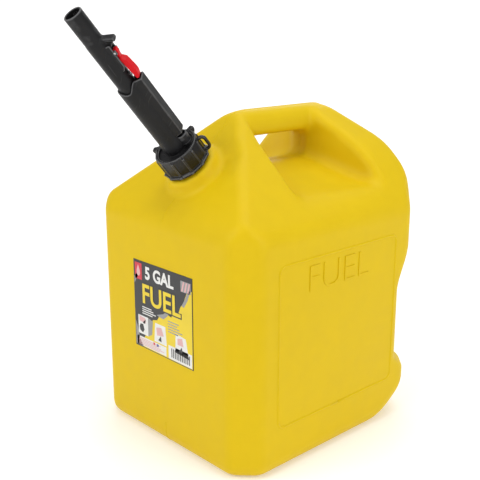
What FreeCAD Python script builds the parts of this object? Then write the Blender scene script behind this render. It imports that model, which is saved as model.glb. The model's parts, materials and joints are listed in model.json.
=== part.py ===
import FreeCAD, Part
import math
import os
import re
import Sketcher

# A five-gallon blow-moulded fuel can with a push-to-pour spout.
# The can stands on z = 0 with the middle of its base at the origin, its front (the label and
# the spout) towards -Y, and its carrying handle along Y.  Millimetres throughout.
# The spout's pieces are drawn upright about their own Z axis, with z = 0 on the rim of the
# filler neck and X towards the lock lever, and are then placed on the tilted neck.
# A size given in quotes is worked out from other sizes, so the pieces stay fitted together.

SIZES = (
    # Tank: overall
    ("tank_width", 259.0),
    ("tank_length", 287.0),
    ("tank_height", 368.0),
    ("tank_wall", 2.4),
    ("roof_rise", 108.0),
    ("shoulder_height", "tank_height - roof_rise"),
    ("slope_foot", 2.0),
    ("corner_leg", 25.0),
    ("edge_round", 14.0),
    # Tank: the facets of its roof, each as inset and drop from the back wall or side and the top
    ("rear_lean", 3.5),
    ("rear_lean_drop", 63.0),
    ("rear_brow", 15.5),
    ("rear_brow_drop", 26.0),
    ("crown_inset", 39.5),
    ("crown_drop", 7.0),
    ("side_knee", 46.5),
    ("side_knee_drop", 60.0),
    ("front_hip_slope", 1.875),
    ("rear_hip_slope", 1.3),
    # Tank: carrying handle and the gap under it
    ("handle_half_width", 17.5),
    ("handle_front", "tank_length * 39 / 287"),
    ("handle_rear_inset", 59.5),
    ("handle_depth", 29.0),
    ("handle_post", 13.0),
    ("handle_rear_post", 16.0),
    ("gap_front", "handle_front - handle_post"),
    ("gap_rear", "tank_length / 2 - handle_rear_inset - handle_rear_post"),
    ("gap_depth", 32.0),
    ("gap_flare", 31.0),
    ("gap_bevel", 10.0),
    # Tank: grip recess across the back
    ("recess_depth", 15.0),
    ("recess_bottom", 60.0),
    ("recess_top", "shoulder_height - 58"),
    ("recess_run_out", 50.0),
    # Nozzle: the sliding upper half of the spout, from which the rest of the spout is sized
    ("nozzle_radius", 9.8),
    ("nozzle_wall", 1.8),
    ("nozzle_bore", "nozzle_radius - nozzle_wall"),
    ("tip_step", 0.3),
    ("tip_radius", "nozzle_radius - tip_step"),
    ("nozzle_travel", 12.0),
    ("running_gap", 0.3),
    ("fit_gap", 0.05),
    ("seal_wire", 1.2),
    ("groove_play", 0.2),
    # Housing: the fixed lower half of the spout
    ("spout_turn", 37.0),
    ("housing_wall", 2.1),
    ("housing_bore", "nozzle_radius + running_gap"),
    ("housing_radius", "housing_bore + housing_wall"),
    ("housing_end", 99.0),
    ("throat_radius", "nozzle_bore + 0.6"),
    ("ledge_height", 22.0),
    ("seat_depth", 6.0),
    ("channel_width", 13.0),
    ("channel_rise", "nozzle_radius + 9.7"),
    ("channel_wall", 1.6),
    ("channel_start", 28.0),
    ("channel_room", "channel_width - channel_wall * 2"),
    # Filler neck, wide enough for the housing and the flame arrester hung inside it
    ("neck_lean", 4.6),
    ("neck_along", 68.1),
    ("neck_height", 29.9),
    ("spout_room", 7.8),
    ("neck_radius", "housing_radius + spout_room"),
    ("neck_bore", "neck_radius - 3"),
    ("neck_root", 62.0),
    ("boss_radius", "neck_radius + 10"),
    ("boss_drop", 19.0),
    # Collar, whose bore clears the neck's thread and holds the housing's flange
    ("thread_room", 2.4),
    ("collar_bore", "neck_radius + thread_room"),
    ("collar_wall", 2.6),
    ("collar_radius", "collar_bore + collar_wall"),
    ("collar_height", 25.0),
    ("collar_ledge", 3.0),
    ("flange_play", 0.4),
    ("flange_radius", "collar_bore - flange_play"),
    ("ledge_grip", 1.1),
    ("collar_mouth", "flange_radius - ledge_grip"),
    ("rib_count", 12.0),
    ("rib_radius", 1.1),
    # Gasket and flange
    ("gasket_thickness", 2.0),
    ("flange_thickness", 3.0),
    # Vent: a boss beside the housing, between its throat and the collar's mouth
    ("mouth_gap", 0.5),
    ("vent_wall", 1.3),
    ("vent_recess_radius", "(collar_mouth - mouth_gap - vent_wall - throat_radius - 0.1) / 2"),
    ("vent_boss_radius", "vent_recess_radius + vent_wall"),
    ("vent_boss_offset", "collar_mouth - mouth_gap - vent_boss_radius"),
    ("vent_boss_height", 11.0),
    ("vent_recess_depth", 5.0),
    ("vent_plug_thickness", 2.5),
    # Vent tube and valve
    ("vent_tube_radius", 2.4),
    ("vent_tube_bore", 1.6),
    ("vent_tube_offset", "nozzle_bore - vent_tube_radius - 0.4"),
    ("vent_tube_setback", 3.0),
    ("stem_radius", 1.6),
    ("valve_radius", "throat_radius + 2"),
    ("valve_thickness", 3.0),
    ("valve_seal", 1.4),
    ("arrester_radius", "neck_bore - 1.4"),
    ("arrester_wall", 1.2),
    ("arrester_depth", 36.0),
    ("slot_count", 12.0),
    # Heights up the spout
    ("wiper_height", "housing_end - 21"),
    ("nozzle_start", "housing_end - 39"),
    ("pin_height", "housing_end + 34"),
    ("tip_start", "pin_height + 19"),
    ("nozzle_end", "pin_height + 51"),
    # Return spring
    ("spring_wire", 1.0),
    ("spring_turns", 8.0),
    ("washer_thickness", 0.8),
    # Lock lever, its pin and its spring
    ("pin_rise", "nozzle_radius + 2.2"),
    ("pin_radius", 1.2),
    ("lever_side_gap", 0.4),
    ("lever_width", "channel_room - lever_side_gap * 2"),
    ("lock_spring_drop", 27.0),
    ("lock_spring_radius", 2.05),
    ("lock_wire", 0.7),
    ("spring_boss_radius", "lock_spring_radius + 0.45"),
    # Front label
    ("label_width", 102.0),
    ("label_height", 102.0),
    ("label_drop", 51.0),
    ("label_bottom", "shoulder_height - label_drop - label_height"),
    ("label_thickness", 0.4),
)

doc = FreeCAD.newDocument("FuelCan")
sheet = doc.addObject("Spreadsheet::Sheet", "Sizes")
for row, (alias, value) in enumerate(SIZES, start=1):
    sheet.set("A%d" % row, alias)
    sheet.set("B%d" % row, "=" + value if isinstance(value, str) else str(value))
    sheet.setAlias("B%d" % row, alias)
doc.recompute()

subparts = []


def size(alias):
    """The number that the sheet holds under this name."""
    return float(sheet.get(alias))


def bind(text):
    """An expression in which every named size is read from the sheet."""
    names = {alias for alias, _ in SIZES}
    return re.sub(r"[a-z][a-z_]+", lambda word: "Sizes." + word[0] if word[0] in names
                  else word[0], text)


def keep(thing, label, placement=None):
    """Names a finished sub-part and puts it where it belongs on the can."""
    thing.Label = label
    if placement is not None:
        thing.Placement = placement
    subparts.append(thing)
    return thing


# ---------------------------------------------------------------- drawing helpers

def origin_plane(body, role):
    """One of a body's own origin planes, found by its role."""
    for feature in body.Origin.OriginFeatures:
        if feature.Role == role:
            return feature
    raise RuntimeError("no plane " + role)


def outline(body, role, corners, name="Profile"):
    """A closed straight-sided sketch whose every corner is held by two named sizes."""
    sketch = body.newObject("Sketcher::SketchObject", body.Name + name)
    sketch.AttachmentSupport = [(origin_plane(body, role), "")]
    sketch.MapMode = "FlatFace"
    count = len(corners)
    start = [FreeCAD.Vector(10 * math.cos(2 * math.pi * index / count),
                            10 * math.sin(2 * math.pi * index / count), 0)
             for index in range(count)]
    for index in range(count):
        sketch.addGeometry(Part.LineSegment(start[index], start[(index + 1) % count]), False)
    for index in range(count):
        sketch.addConstraint(Sketcher.Constraint("Coincident", index, 2, (index + 1) % count, 1))
    for index, (across, up) in enumerate(corners):
        for kind, text, value in (("DistanceX", across, start[index].x),
                                  ("DistanceY", up, start[index].y)):
            held = sketch.addConstraint(Sketcher.Constraint(kind, -1, 1, index, 1, value))
            sketch.setExpression("Constraints[%d]" % held, bind(text))
    return sketch


def turned(name, corners):
    """A body of revolution about Z; its corners are (radius, height)."""
    body = doc.addObject("PartDesign::Body", name)
    sketch = outline(body, "XZ_Plane", corners)
    spin = body.newObject("PartDesign::Revolution", name + "Turn")
    spin.Profile = sketch
    spin.ReferenceAxis = (sketch, ["V_Axis"])
    spin.Angle = 360
    return body


def plate(name, corners, thickness):
    """A flat piece in the XZ plane, its thickness shared equally either side."""
    body = doc.addObject("PartDesign::Body", name)
    pad = body.newObject("PartDesign::Pad", name + "Pad")
    pad.Profile = outline(body, "XZ_Plane", corners)
    pad.SideType = "Symmetric"
    pad.setExpression("Length", bind(thickness))
    return body


def place(thing, x, y, z):
    """Puts a primitive at a point given by named sizes."""
    for axis, text in (("x", x), ("y", y), ("z", z)):
        if text != "0":
            thing.setExpression("Placement.Base." + axis, bind(text))
    return thing


def cylinder(name, radius, height, x="0", y="0", z="0"):
    rod = doc.addObject("Part::Cylinder", name)
    rod.setExpression("Radius", bind(radius))
    rod.setExpression("Height", bind(height))
    return place(rod, x, y, z)


def block(name, length, width, height, x, y, z):
    brick = doc.addObject("Part::Box", name)
    for side, text in (("Length", length), ("Width", width), ("Height", height)):
        brick.setExpression(side, bind(text))
    return place(brick, x, y, z)


def along(thing, axis):
    """Turns a primitive so that its own Z axis lies along another axis."""
    thing.Placement.Rotation = FreeCAD.Rotation(FreeCAD.Vector(0, 0, 1), axis)
    return thing


def torus(name, ring_radius, wire_radius):
    ring = doc.addObject("Part::Torus", name)
    ring.setExpression("Radius1", bind(ring_radius))
    ring.setExpression("Radius2", bind(wire_radius))
    return ring


def fuse(name, pieces):
    whole = doc.addObject("Part::MultiFuse", name)
    whole.Shapes = pieces
    return whole


def cut(name, base, tool):
    left = doc.addObject("Part::Cut", name)
    left.Base = base
    left.Tool = tool
    return left


def spoke(name, start, length, width, height, z, angle):
    """A block that stands out along a radius, at an angle about Z."""
    brick = doc.addObject("Part::Box", name)
    brick.Placement.Rotation = FreeCAD.Rotation(FreeCAD.Vector(0, 0, 1), angle)
    for side, text in (("Length", length), ("Width", width), ("Height", height)):
        brick.setExpression(side, bind(text))
    turn = {"start": start, "width": width, "angle": angle}
    return place(brick, "(%(start)s) * cos(%(angle)g) + (%(width)s) / 2 * sin(%(angle)g)" % turn,
                 "(%(start)s) * sin(%(angle)g) - (%(width)s) / 2 * cos(%(angle)g)" % turn, z)


def coil(name, mean_radius, wire_radius, pitch, height):
    """A round-wire compression spring about Z, standing on z = 0, swept a turn at a time."""
    path = doc.addObject("Part::Helix", name + "Path")
    path.SegmentLength = 1
    path.setExpression("Radius", bind(mean_radius))
    path.setExpression("Pitch", bind(pitch))
    path.setExpression("Height", bind(height))
    section = doc.addObject("Part::Circle", name + "Wire")
    section.setExpression("Radius", bind(wire_radius))
    section.setExpression("Placement.Base.x", bind(mean_radius))
    section.Placement.Rotation = FreeCAD.Rotation(FreeCAD.Vector(1, 0, 0), 90)
    doc.recompute()
    wire = doc.addObject("Part::Sweep", name)
    wire.Sections = [section]
    wire.Spine = (path, ["Edge%d" % (turn + 1) for turn in range(len(path.Shape.Edges))])
    wire.Solid = True
    wire.Frenet = True
    return wire


# ---------------------------------------------------------------- places on the can

UP = FreeCAD.Vector(0, 0, 1)
ACROSS = FreeCAD.Vector(1, 0, 0)
SIDEWAYS = FreeCAD.Vector(0, 1, 0)

slope_foot = FreeCAD.Vector(0, -size("tank_length") / 2,
                            size("shoulder_height") + size("slope_foot"))
slope_head = FreeCAD.Vector(0, -size("handle_front"), size("tank_height"))
up_slope = (slope_head - slope_foot).normalize()
off_slope = ACROSS.cross(up_slope)
slope_angle = math.degrees(math.atan2(up_slope.z, up_slope.y))
neck_centre = slope_foot + up_slope * size("neck_along") + off_slope * size("neck_height")
neck_frame = FreeCAD.Placement(
    neck_centre, FreeCAD.Rotation(ACROSS, slope_angle - size("neck_lean")))
spout_frame = neck_frame * FreeCAD.Placement(
    FreeCAD.Vector(), FreeCAD.Rotation(UP, size("spout_turn")))


def raised(height, across=0):
    """A place on the spout: so high up its axis, and so far across towards the lock lever."""
    return spout_frame * FreeCAD.Placement(FreeCAD.Vector(across, 0, height),
                                           FreeCAD.Rotation())


# ---------------------------------------------------------------- tank

def prism(corners, axis, start, reach):
    """A solid swept from a flat outline along one axis, from start through reach."""
    face = Part.Face(Part.makePolygon(corners + corners[:1]))
    face.translate(axis * start)
    return face.extrude(axis * reach)


def trimmed(solid, point, outward):
    """The solid without what lies beyond a plane."""
    far = 2 * size("tank_height")
    plane = Part.makePlane(2 * far, 2 * far, FreeCAD.Vector(-far, -far, 0))
    plane.Placement = FreeCAD.Placement(point, FreeCAD.Rotation(UP, outward))
    return solid.cut(plane.extrude(outward.normalize() * far))


def tank_block(inset):
    """The can's overall form, with no gap under the handle, drawn in by an inset."""
    half_x = size("tank_width") / 2 - inset
    half_y = size("tank_length") / 2 - inset
    floor = inset
    top = size("tank_height") - inset
    shoulder = size("shoulder_height")
    bar = size("handle_half_width") - inset
    mitre = math.tan(math.radians(22.5)) * inset
    front_top = mitre - size("handle_front")
    rear_top = half_y + inset - size("handle_rear_inset") - mitre
    crown = top - size("crown_drop")
    knee_x, knee_z = half_x - size("side_knee"), top - size("side_knee_drop")
    ridge = bar - size("crown_drop")
    side = [FreeCAD.Vector(0, y, z) for y, z in (
        (-half_y, floor), (half_y, floor), (half_y, shoulder),
        (half_y - size("rear_lean"), top - size("rear_lean_drop")),
        (half_y - size("rear_brow"), top - size("rear_brow_drop")),
        (half_y - size("crown_inset"), crown), (rear_top, top), (front_top, top),
        (-half_y, shoulder + size("slope_foot")))]
    end = [FreeCAD.Vector(x, 0, z) for x, z in (
        (-half_x, floor), (half_x, floor), (half_x, shoulder), (knee_x, knee_z), (bar, crown),
        (ridge, top), (-ridge, top), (-bar, crown), (-knee_x, knee_z), (-half_x, shoulder))]
    leg = size("corner_leg") - (2 - math.sqrt(2)) * inset
    plan = [FreeCAD.Vector(x, y, 0) for x, y in (
        (half_x - leg, -half_y), (half_x, leg - half_y), (half_x, half_y - leg),
        (half_x - leg, half_y), (leg - half_x, half_y), (-half_x, half_y - leg),
        (-half_x, leg - half_y), (leg - half_x, -half_y))]
    form = prism(side, ACROSS, -half_x, 2 * half_x)
    form = form.common(prism(end, SIDEWAYS, -half_y, 2 * half_y))
    form = form.common(prism(plan, UP, floor, top))
    for sign in (-1, 1):
        corner_x = sign * (half_x - leg / 2)
        form = trimmed(form, FreeCAD.Vector(corner_x, leg / 2 - half_y, shoulder),
                       FreeCAD.Vector(sign, -1, size("front_hip_slope")))
        form = trimmed(form, FreeCAD.Vector(corner_x, half_y - leg / 2,
                                            shoulder + size("slope_foot")),
                       FreeCAD.Vector(sign, 1, size("rear_hip_slope")))
    form = form.removeSplitter().Solids[0]
    upright_edges = [edge for edge in form.Edges
                     if edge.BoundBox.ZMin < floor + 1 and edge.BoundBox.ZMax > shoulder - 10]
    foot_edges = [edge for edge in form.Edges if edge.BoundBox.ZMax < floor + 1]
    return form.makeFillet(size("edge_round") - inset, upright_edges + foot_edges)


def handle_gap(grow):
    """The gap under the handle: narrow at the middle, flaring out towards both sides."""
    top = size("tank_height") - size("handle_depth")
    bottom = top - size("gap_depth")
    reach = size("tank_width") / 2 + 5
    bar = size("handle_half_width")
    over = size("tank_height") + 4
    stations = (
        (0, -size("gap_front"), size("gap_rear"), bottom, top),
        (bar - 5.5, -size("gap_front"), size("gap_rear"), bottom, top),
        (bar + 2.5, -size("gap_front") - 1, size("gap_rear") + 2, bottom - 2, over),
        (reach, -size("gap_front") - 10, size("gap_rear") + 18, bottom - size("gap_flare"), over))
    solid = None
    for sign in (-1, 1):
        wires = []
        for x, front, rear, low, high in stations:
            shift = sign * (x - (grow if x else 0))
            bevel = size("gap_bevel") + math.tan(math.radians(22.5)) * grow
            y0, y1, z0, z1 = front - grow, rear + grow, low - grow, high + grow
            ring = [FreeCAD.Vector(shift, y, z) for y, z in (
                (y0 + bevel, z0), (y1 - bevel, z0), (y1, z0 + bevel), (y1, z1 - bevel),
                (y1 - bevel, z1), (y0 + bevel, z1), (y0, z1 - bevel), (y0, z0 + bevel))]
            wires.append(Part.makePolygon(ring + ring[:1]))
        half = Part.makeLoft(wires, True, True)
        solid = half if solid is None else solid.fuse(half)
    return solid


def grip_recess(grow):
    """The finger recess across the back."""
    back = size("tank_length") / 2
    depth = back - size("recess_depth") - grow
    low = size("recess_bottom")
    high = size("recess_top")
    slope = size("recess_depth")
    corners = [FreeCAD.Vector(0, y, z) for y, z in (
        (back + 1, low - 1 - grow), (depth, low + slope - grow),
        (depth, high + 3 - size("recess_run_out") + grow), (back + 1, high + 3 + grow))]
    width = size("tank_width") + 10
    return prism(corners, ACROSS, -width / 2, width)


def on_neck(solid):
    """Moves a solid drawn about the neck's own axis onto the tilted neck."""
    solid.Placement = neck_frame
    return solid


def upright(radius, low, high):
    return Part.makeCylinder(radius, high - low, FreeCAD.Vector(0, 0, low))


def tank_shell():
    wall = size("tank_wall")
    root = -size("neck_root")
    boss_top = -size("boss_drop")
    boss = upright(size("boss_radius"), root, boss_top)
    boss = boss.makeChamfer(3, [edge for edge in boss.Edges if edge.BoundBox.ZMin > boss_top - 1])
    outside = tank_block(0).cut(handle_gap(0)).cut(grip_recess(0))
    outside = outside.fuse(on_neck(boss)).fuse(on_neck(upright(size("neck_radius"), root, 0)))
    hollow = tank_block(wall).cut(handle_gap(wall)).cut(grip_recess(wall))
    hollow = hollow.fuse(on_neck(upright(size("boss_radius") - wall, root, boss_top - wall)))
    hollow = hollow.fuse(on_neck(upright(size("neck_bore"), root, 5)))
    print("the tank holds %.1f litres to the brim" % (hollow.Volume / 1e6))
    return outside.cut(hollow).removeSplitter()


tank = doc.addObject("Part::Feature", "TankBody")
tank.Shape = tank_shell()
keep(tank, "tank_body", FreeCAD.Placement())

label = block("FrontLabel", "label_width", "label_thickness", "label_height",
              "- label_width / 2", "- tank_length / 2 - label_thickness", "label_bottom")
keep(label, "front_label")


# ---------------------------------------------------------------- neck gasket and collar

keep(turned("NeckGasket", (
    ("neck_bore", "fit_gap"), ("neck_radius", "fit_gap"),
    ("neck_radius", "gasket_thickness - fit_gap"),
    ("neck_bore", "gasket_thickness - fit_gap"))), "neck_gasket", neck_frame)

LEDGE = "gasket_thickness + flange_thickness + running_gap"
TOP = LEDGE + " + collar_ledge"
BOTTOM = TOP + " - collar_height"

ring = turned("CollarRing", (
    ("collar_mouth", LEDGE), ("collar_mouth", TOP), ("collar_radius - 1", TOP),
    ("collar_radius", TOP + " - 1"), ("collar_radius", BOTTOM), ("collar_bore", BOTTOM),
    ("collar_bore", LEDGE)))

collar_parts = [ring]
rib_count = int(size("rib_count"))
for number in range(rib_count):
    angle = number * 360 / rib_count
    collar_parts.append(cylinder("CollarRib%d" % number, "rib_radius", "collar_height - 3",
                                 "collar_radius * cos(%g)" % angle,
                                 "collar_radius * sin(%g)" % angle, BOTTOM + " + 1"))
for number, angle in enumerate((87, 199)):
    collar_parts.append(spoke("CollarLug%d" % number, "collar_bore + 0.5", "6.5", "6", "9",
                              TOP + " - 8", angle))
LOOP_ANGLE = 40
loop = plate("CollarLoop", (
    ("collar_radius - 1", TOP + " - 2"), ("collar_radius + 5", TOP + " - 3"),
    ("collar_radius + 8.5", TOP + " - 8"), ("collar_radius + 8.5", TOP + " - 15"),
    ("collar_radius + 5", TOP + " - 19"), ("collar_radius - 1", TOP + " - 20")), "4")
hole = plate("CollarLoopHole", (
    ("collar_radius + 2", TOP + " - 6"), ("collar_radius + 4", TOP + " - 6"),
    ("collar_radius + 5.5", TOP + " - 9"), ("collar_radius + 5.5", TOP + " - 14"),
    ("collar_radius + 4", TOP + " - 16.5"), ("collar_radius + 2", TOP + " - 16.5")), "6")
release_loop = cut("CollarReleaseLoop", loop, hole)
release_loop.Placement.Rotation = FreeCAD.Rotation(UP, LOOP_ANGLE)
collar_parts.append(release_loop)
keep(fuse("Collar", collar_parts), "collar", neck_frame)


# ---------------------------------------------------------------- spout housing

FLANGE_TOP = "gasket_thickness + flange_thickness"
WIPER_FLOOR = "nozzle_radius + fit_gap * 2 + seal_wire"
WIPER_LOW = "wiper_height - seal_wire / 2 - groove_play"
WIPER_HIGH = "wiper_height + seal_wire / 2 + groove_play"

housing_turn = turned("HousingTurn", (
    ("throat_radius", "- seat_depth"), ("throat_radius", "ledge_height"),
    ("housing_bore", "ledge_height"), ("housing_bore", WIPER_LOW), (WIPER_FLOOR, WIPER_LOW),
    (WIPER_FLOOR, WIPER_HIGH), ("housing_bore", WIPER_HIGH), ("housing_bore", "housing_end"),
    ("housing_radius", "housing_end"), ("housing_radius", FLANGE_TOP),
    ("flange_radius", FLANGE_TOP), ("flange_radius", "gasket_thickness"),
    ("housing_radius", "gasket_thickness"), ("housing_radius", "- seat_depth + 1"),
    ("housing_radius - 1", "- seat_depth")))
channel = plate("ChannelOutside", (
    ("nozzle_radius", "channel_start + 6"), ("housing_radius", "channel_start"),
    ("channel_rise - 1", "channel_start + 3"), ("channel_rise", "channel_start + 5"),
    ("channel_rise", "housing_end"), ("nozzle_radius", "housing_end")), "channel_width")
VENT_FOOT = TOP + " + 0.6"
VENT_TOP = VENT_FOOT + " + vent_boss_height"
vent_boss = cylinder("VentBoss", "vent_boss_radius", "vent_boss_height", "vent_boss_offset", "0",
                     VENT_FOOT)
bore_core = cylinder("BoreCore", "housing_bore", "housing_end - ledge_height", "0", "0",
                     "ledge_height")
groove_core = cylinder("GrooveCore", WIPER_FLOOR, "seal_wire + groove_play * 2", "0", "0", WIPER_LOW)
channel_hollow = plate("ChannelHollow", (
    ("housing_radius + 0.8", "channel_start + 7"),
    ("channel_rise - channel_wall", "channel_start + 7"),
    ("channel_rise - channel_wall", "housing_end + 1"), ("housing_radius + 0.8", "housing_end + 1")),
    "channel_room")
lever_slot = plate("LeverSlot", (
    ("nozzle_bore", "housing_end - nozzle_travel - 3.5"),
    ("channel_rise - channel_wall - 1", "housing_end - nozzle_travel - 3.5"),
    ("channel_rise - channel_wall - 1", "housing_end + 1"), ("nozzle_bore", "housing_end + 1")),
    "channel_room")
mouth_dip = plate("MouthDip", (
    ("housing_radius - 3", "housing_end"), ("housing_radius - 11", "housing_end - 8"),
    ("- housing_radius - 1", "housing_end - 4"), ("- housing_radius - 1", "housing_end + 5"),
    ("housing_radius - 3", "housing_end + 5")), "housing_radius * 2 + 2")
vent_recess = cylinder("VentRecess", "vent_recess_radius", "vent_recess_depth + 1",
                       "vent_boss_offset", "0", VENT_TOP + " - vent_recess_depth")
housing_solid = fuse("HousingSolid", [housing_turn, channel, vent_boss])
housing_cuts = fuse("HousingCuts", [bore_core, groove_core, channel_hollow, lever_slot, mouth_dip,
                                    vent_recess])
keep(cut("SpoutHousing", housing_solid, housing_cuts), "spout_housing", spout_frame)

plug = cylinder("VentPlugDisc", "vent_recess_radius - 0.2", "vent_plug_thickness")
plug_slots = fuse("VentPlugSlots", [
    block("VentPlugSlotA", "6", "1", "2", "-3", "-0.5", "1.5"),
    block("VentPlugSlotB", "1", "6", "2", "-0.5", "-3", "1.5")])
vent_top = (size("gasket_thickness") + size("flange_thickness") + size("running_gap")
            + size("collar_ledge") + 0.6 + size("vent_boss_height"))
keep(cut("VentPlug", plug, plug_slots), "vent_plug",
     raised(vent_top - size("vent_recess_depth"), size("vent_boss_offset")))

keep(torus("WiperRing", "nozzle_radius + fit_gap + seal_wire / 2", "seal_wire / 2"),
     "wiper_ring", raised(size("wiper_height")))

cup = turned("ArresterCup", (
    ("arrester_radius - arrester_wall", "gasket_thickness"), ("arrester_radius", "gasket_thickness"),
    ("arrester_radius", "2 - arrester_depth"), ("0", "2 - arrester_depth"),
    ("0", "2 - arrester_depth + arrester_wall"),
    ("arrester_radius - arrester_wall", "2 - arrester_depth + arrester_wall")))
slots = []
slot_pairs = int(size("slot_count") / 2)
for number in range(slot_pairs):
    slots.append(spoke("ArresterSlot%d" % number, "- arrester_radius - 1", "arrester_radius * 2 + 2",
                       "2", "arrester_depth - 12", "6 - arrester_depth", number * 180 / slot_pairs))
keep(cut("FlameArrester", cup, fuse("ArresterSlots", slots)), "flame_arrester", spout_frame)

washer = turned("SpringWasher", (
    ("throat_radius + 0.1", "ledge_height"), ("housing_bore - 0.1", "ledge_height"),
    ("housing_bore - 0.1", "ledge_height + washer_thickness"),
    ("throat_radius + 0.1", "ledge_height + washer_thickness")))
keep(washer, "spring_washer", spout_frame)

SPRING_ROOM = "(nozzle_start - ledge_height - washer_thickness - spring_wire - fit_gap * 2)"
return_spring = coil("ReturnSpring", "housing_bore - spring_wire / 2 - running_gap", "spring_wire / 2",
                     SPRING_ROOM + " / spring_turns", SPRING_ROOM)
keep(return_spring, "return_spring",
     raised(size("ledge_height") + size("washer_thickness") + size("fit_gap")
            + size("spring_wire") / 2))


# ---------------------------------------------------------------- sliding nozzle

RING_CENTRE = "housing_bore - fit_gap - seal_wire / 2"
RING_FLOOR = "housing_bore - fit_gap * 2 - seal_wire"
RING_RISE = 4
RING_HEIGHT = "nozzle_start + %d" % RING_RISE

tube = turned("NozzleTurn", (
    ("nozzle_bore", "nozzle_start"), ("nozzle_bore", "nozzle_end"),
    ("tip_radius - 0.8", "nozzle_end"), ("tip_radius", "nozzle_end - 0.8"),
    ("tip_radius", "tip_start"), ("nozzle_radius", "tip_start - 0.6"),
    ("nozzle_radius", RING_HEIGHT + " + seal_wire / 2 + 0.1"),
    (RING_FLOOR, RING_HEIGHT + " + seal_wire / 2 + 0.1"),
    (RING_FLOOR, RING_HEIGHT + " - seal_wire / 2 - 0.1"),
    ("nozzle_radius", RING_HEIGHT + " - seal_wire / 2 - 0.1"), ("nozzle_radius", "nozzle_start")))
hook_web = plate("HookWeb", (
    ("nozzle_bore + 0.6", "pin_height + 6"), ("nozzle_radius + 5.4", "pin_height + 6"),
    ("nozzle_radius + 6.4", "pin_height + 8.6"), ("nozzle_bore + 0.6", "pin_height + 13.5")), "4.6")
hook_plate = plate("HookPlate", (
    ("nozzle_bore + 0.8", "pin_height + 15.6"), ("nozzle_radius + 8.8", "pin_height + 8.8"),
    ("nozzle_radius + 9.4", "pin_height + 7.2"), ("nozzle_radius + 8.4", "pin_height + 6"),
    ("nozzle_radius + 6.6", "pin_height + 6.4"), ("nozzle_bore + 0.8", "pin_height + 11.8")), "9")
ears = [block("PinEar%d" % number, "pin_rise - nozzle_bore + 1.4", "1.8", "5", "nozzle_bore + 0.8",
              "lever_width / 2 - 1.2" if number else "1.2 - 1.8 - lever_width / 2",
              "pin_height - 2.5") for number in (0, 1)]
spring_boss = along(cylinder("SpringBoss", "spring_boss_radius", "1.7", "nozzle_bore + 0.4", "0",
                             "pin_height - lock_spring_drop"), ACROSS)
nozzle_core = cylinder("NozzleCore", "nozzle_bore", "nozzle_end - nozzle_start", "0", "0",
                       "nozzle_start")
pin_hole = along(cylinder("PinHole", "pin_radius", "lever_width + 4", "pin_rise",
                          "- lever_width / 2 - 2", "pin_height"), SIDEWAYS)
nozzle_solid = fuse("NozzleSolid", [tube, hook_web, hook_plate, spring_boss] + ears)
keep(cut("NozzleTube", nozzle_solid, fuse("NozzleCuts", [nozzle_core, pin_hole])),
     "nozzle_tube", spout_frame)

keep(torus("NozzleRing", RING_CENTRE, "seal_wire / 2"), "nozzle_oring",
     raised(size("nozzle_start") + RING_RISE))

vent_outer = cylinder("VentOuter", "vent_tube_radius",
                      "nozzle_end - vent_tube_setback + seat_depth + 2", "0", "vent_tube_offset", "- seat_depth - 2")
vent_inner = cylinder("VentInner", "vent_tube_bore",
                      "nozzle_end - vent_tube_setback + seat_depth + 4", "0", "vent_tube_offset", "- seat_depth - 3")
keep(cut("VentTube", vent_outer, vent_inner), "vent_tube", spout_frame)

hub = cylinder("SpiderHub", "stem_radius + 1.6", "5", "0", "0", "nozzle_start + 1")
rim = cut("SpiderRim", cylinder("SpiderRimOut", "nozzle_bore", "5", "0", "0", "nozzle_start + 1"),
          cylinder("SpiderRimIn", "nozzle_bore - 1.4", "5", "0", "0", "nozzle_start + 1"))
arms = [spoke("SpiderArm%d" % number, "stem_radius + 1", "nozzle_bore - stem_radius - 1.6", "1.6",
              "5", "nozzle_start + 1", angle) for number, angle in enumerate((270, 30, 150))]
spider_holes = fuse("SpiderHoles", [
    cylinder("SpiderStemHole", "stem_radius", "7", "0", "0", "nozzle_start"),
    cylinder("SpiderVentHole", "vent_tube_radius", "7", "0", "vent_tube_offset", "nozzle_start")])
keep(cut("StemSpider", fuse("SpiderSolid", [hub, rim] + arms), spider_holes), "stem_spider",
     spout_frame)

VALVE_TOP = "- seat_depth - fit_gap - valve_seal"
VALVE_FOOT = VALVE_TOP + " - valve_thickness"
keep(turned("ValveStem", (
    ("0", VALVE_FOOT + " - 4"), ("stem_radius", VALVE_FOOT + " - 4"),
    ("stem_radius", "nozzle_start + 6"), ("stem_radius + 1", "nozzle_start + 6"),
    ("stem_radius + 1", "nozzle_start + 7.6"), ("0", "nozzle_start + 7.6"))), "valve_stem",
    spout_frame)

disc = turned("ValveDiscTurn", (
    ("stem_radius", VALVE_FOOT + " - 2"), ("stem_radius", VALVE_TOP), ("valve_radius", VALVE_TOP),
    ("valve_radius", VALVE_TOP + " - valve_thickness + 1"), ("valve_radius - 1", VALVE_FOOT),
    ("stem_radius + 2", VALVE_FOOT), ("stem_radius + 2", VALVE_FOOT + " - 2")))
socket = cylinder("VentSocket", "vent_tube_radius", "seat_depth + 3", "0", "vent_tube_offset",
                  "- seat_depth - 2")
keep(cut("ValveDisc", disc, socket), "valve_disc", spout_frame)

keep(turned("ValveSeal", (
    ("throat_radius - 0.3", VALVE_TOP), ("throat_radius - 0.3", VALVE_TOP + " + valve_seal"),
    ("valve_radius - 0.2", VALVE_TOP + " + valve_seal"), ("valve_radius - 0.2", VALVE_TOP))),
    "valve_seal", spout_frame)

keep(turned("StemClip", (
    ("stem_radius", VALVE_FOOT + " - 3"), ("stem_radius", VALVE_FOOT + " - 2"),
    ("stem_radius + 1.8", VALVE_FOOT + " - 2"), ("stem_radius + 1.8", VALVE_FOOT + " - 3"))),
    "stem_clip", spout_frame)


# ---------------------------------------------------------------- lock lever

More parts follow.
